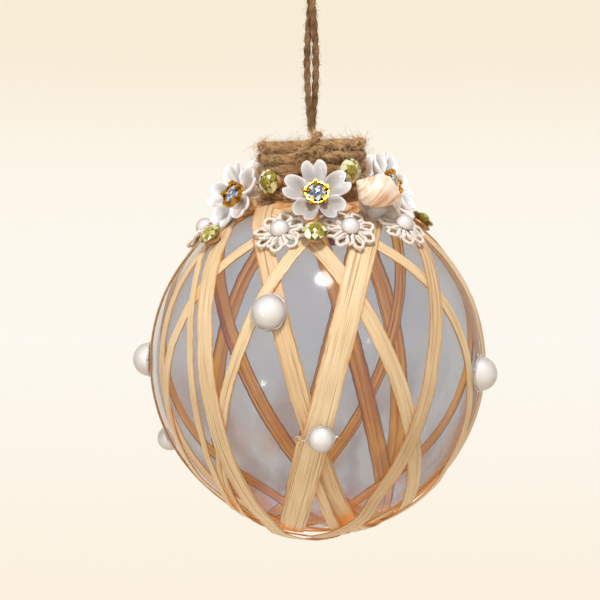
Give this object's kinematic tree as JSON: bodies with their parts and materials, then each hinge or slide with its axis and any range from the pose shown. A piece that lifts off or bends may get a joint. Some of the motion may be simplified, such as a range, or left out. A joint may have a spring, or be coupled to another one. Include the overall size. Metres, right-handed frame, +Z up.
{
  "type": "ball ornament",
  "caption": "Hanging clear hollow ball wrapped with flat palm-coloured strips, with pearl flowers, stones, lace daisies and a shell round a twine-wound neck.",
  "frame": {"origin": "inside top of the twine loop, where a hook or twig bears", "axes": "+Z up along the hanging line, -Y towards the viewer of the picture, +X to the viewer's right"},
  "size_m": [0.0869, 0.084, 0.1385],
  "materials": {
    "clear_plastic": "clear, glossy",
    "pale_plastic": "pale grey, matt",
    "jute": "rough brown jute twine",
    "palm": "pale tan palm strip, satin, with fine grain",
    "pearl_white": "pearl white",
    "gold": "gold plated, polished",
    "clear_stone": "clear cut stone",
    "olive_yellow": "olive yellow cut stone",
    "lace_cotton": "white crochet cotton",
    "shell_peach": "ribbed sea shell, satin"
  },
  "bodies": {
    "root": {"clear_ball": "clear_plastic", "neck_cap": "pale_plastic", "neck_twine": "jute", "hanging_loop": "jute", "strip_left_limb": "palm", "strip_limb": "palm", "strip_left_outer": "palm", "strip_right_outer": "palm", "strip_right_inner": "palm", "strip_middle_left": "palm", "strip_left_inner": "palm", "strip_front": "palm", "strip_right": "palm", "strip_left": "palm", "strip_narrow_left": "palm", "strip_narrow_middle": "palm", "strip_narrow_bottom": "palm", "flower_front_petals": "pearl_white", "flower_front_setting": "gold", "flower_front_rhinestone": "clear_stone", "flower_left_petals": "pearl_white", "flower_left_setting": "gold", "flower_left_rhinestone": "clear_stone", "flower_right_petals": "pearl_white", "flower_right_setting": "gold", "flower_right_rhinestone": "clear_stone", "flower_back_right_petals": "pearl_white", "flower_back_right_setting": "gold", "flower_back_right_rhinestone": "clear_stone", "flower_back_left_petals": "pearl_white", "flower_back_left_setting": "gold", "flower_back_left_rhinestone": "clear_stone", "yellow_stone_front": "olive_yellow", "yellow_stone_left": "olive_yellow", "yellow_stone_back": "olive_yellow", "yellow_stone_back_right": "olive_yellow", "yellow_stone_winding_left": "olive_yellow", "yellow_stone_winding_right": "olive_yellow", "yellow_stone_winding_back": "olive_yellow", "lace_daisy_left": "lace_cotton", "lace_daisy_left_pearl": "pearl_white", "lace_daisy_middle": "lace_cotton", "lace_daisy_middle_pearl": "pearl_white", "lace_daisy_right": "lace_cotton", "lace_daisy_right_pearl": "pearl_white", "lace_daisy_back": "lace_cotton", "lace_daisy_back_pearl": "pearl_white", "shell_front": "shell_peach", "shell_back": "shell_peach", "pearl_front": "pearl_white", "pearl_low": "pearl_white", "pearl_right": "pearl_white", "pearl_left": "pearl_white", "pearl_left_low": "pearl_white", "pearl_back": "pearl_white", "pearl_back_low": "pearl_white"}
  },
  "joints": []
}
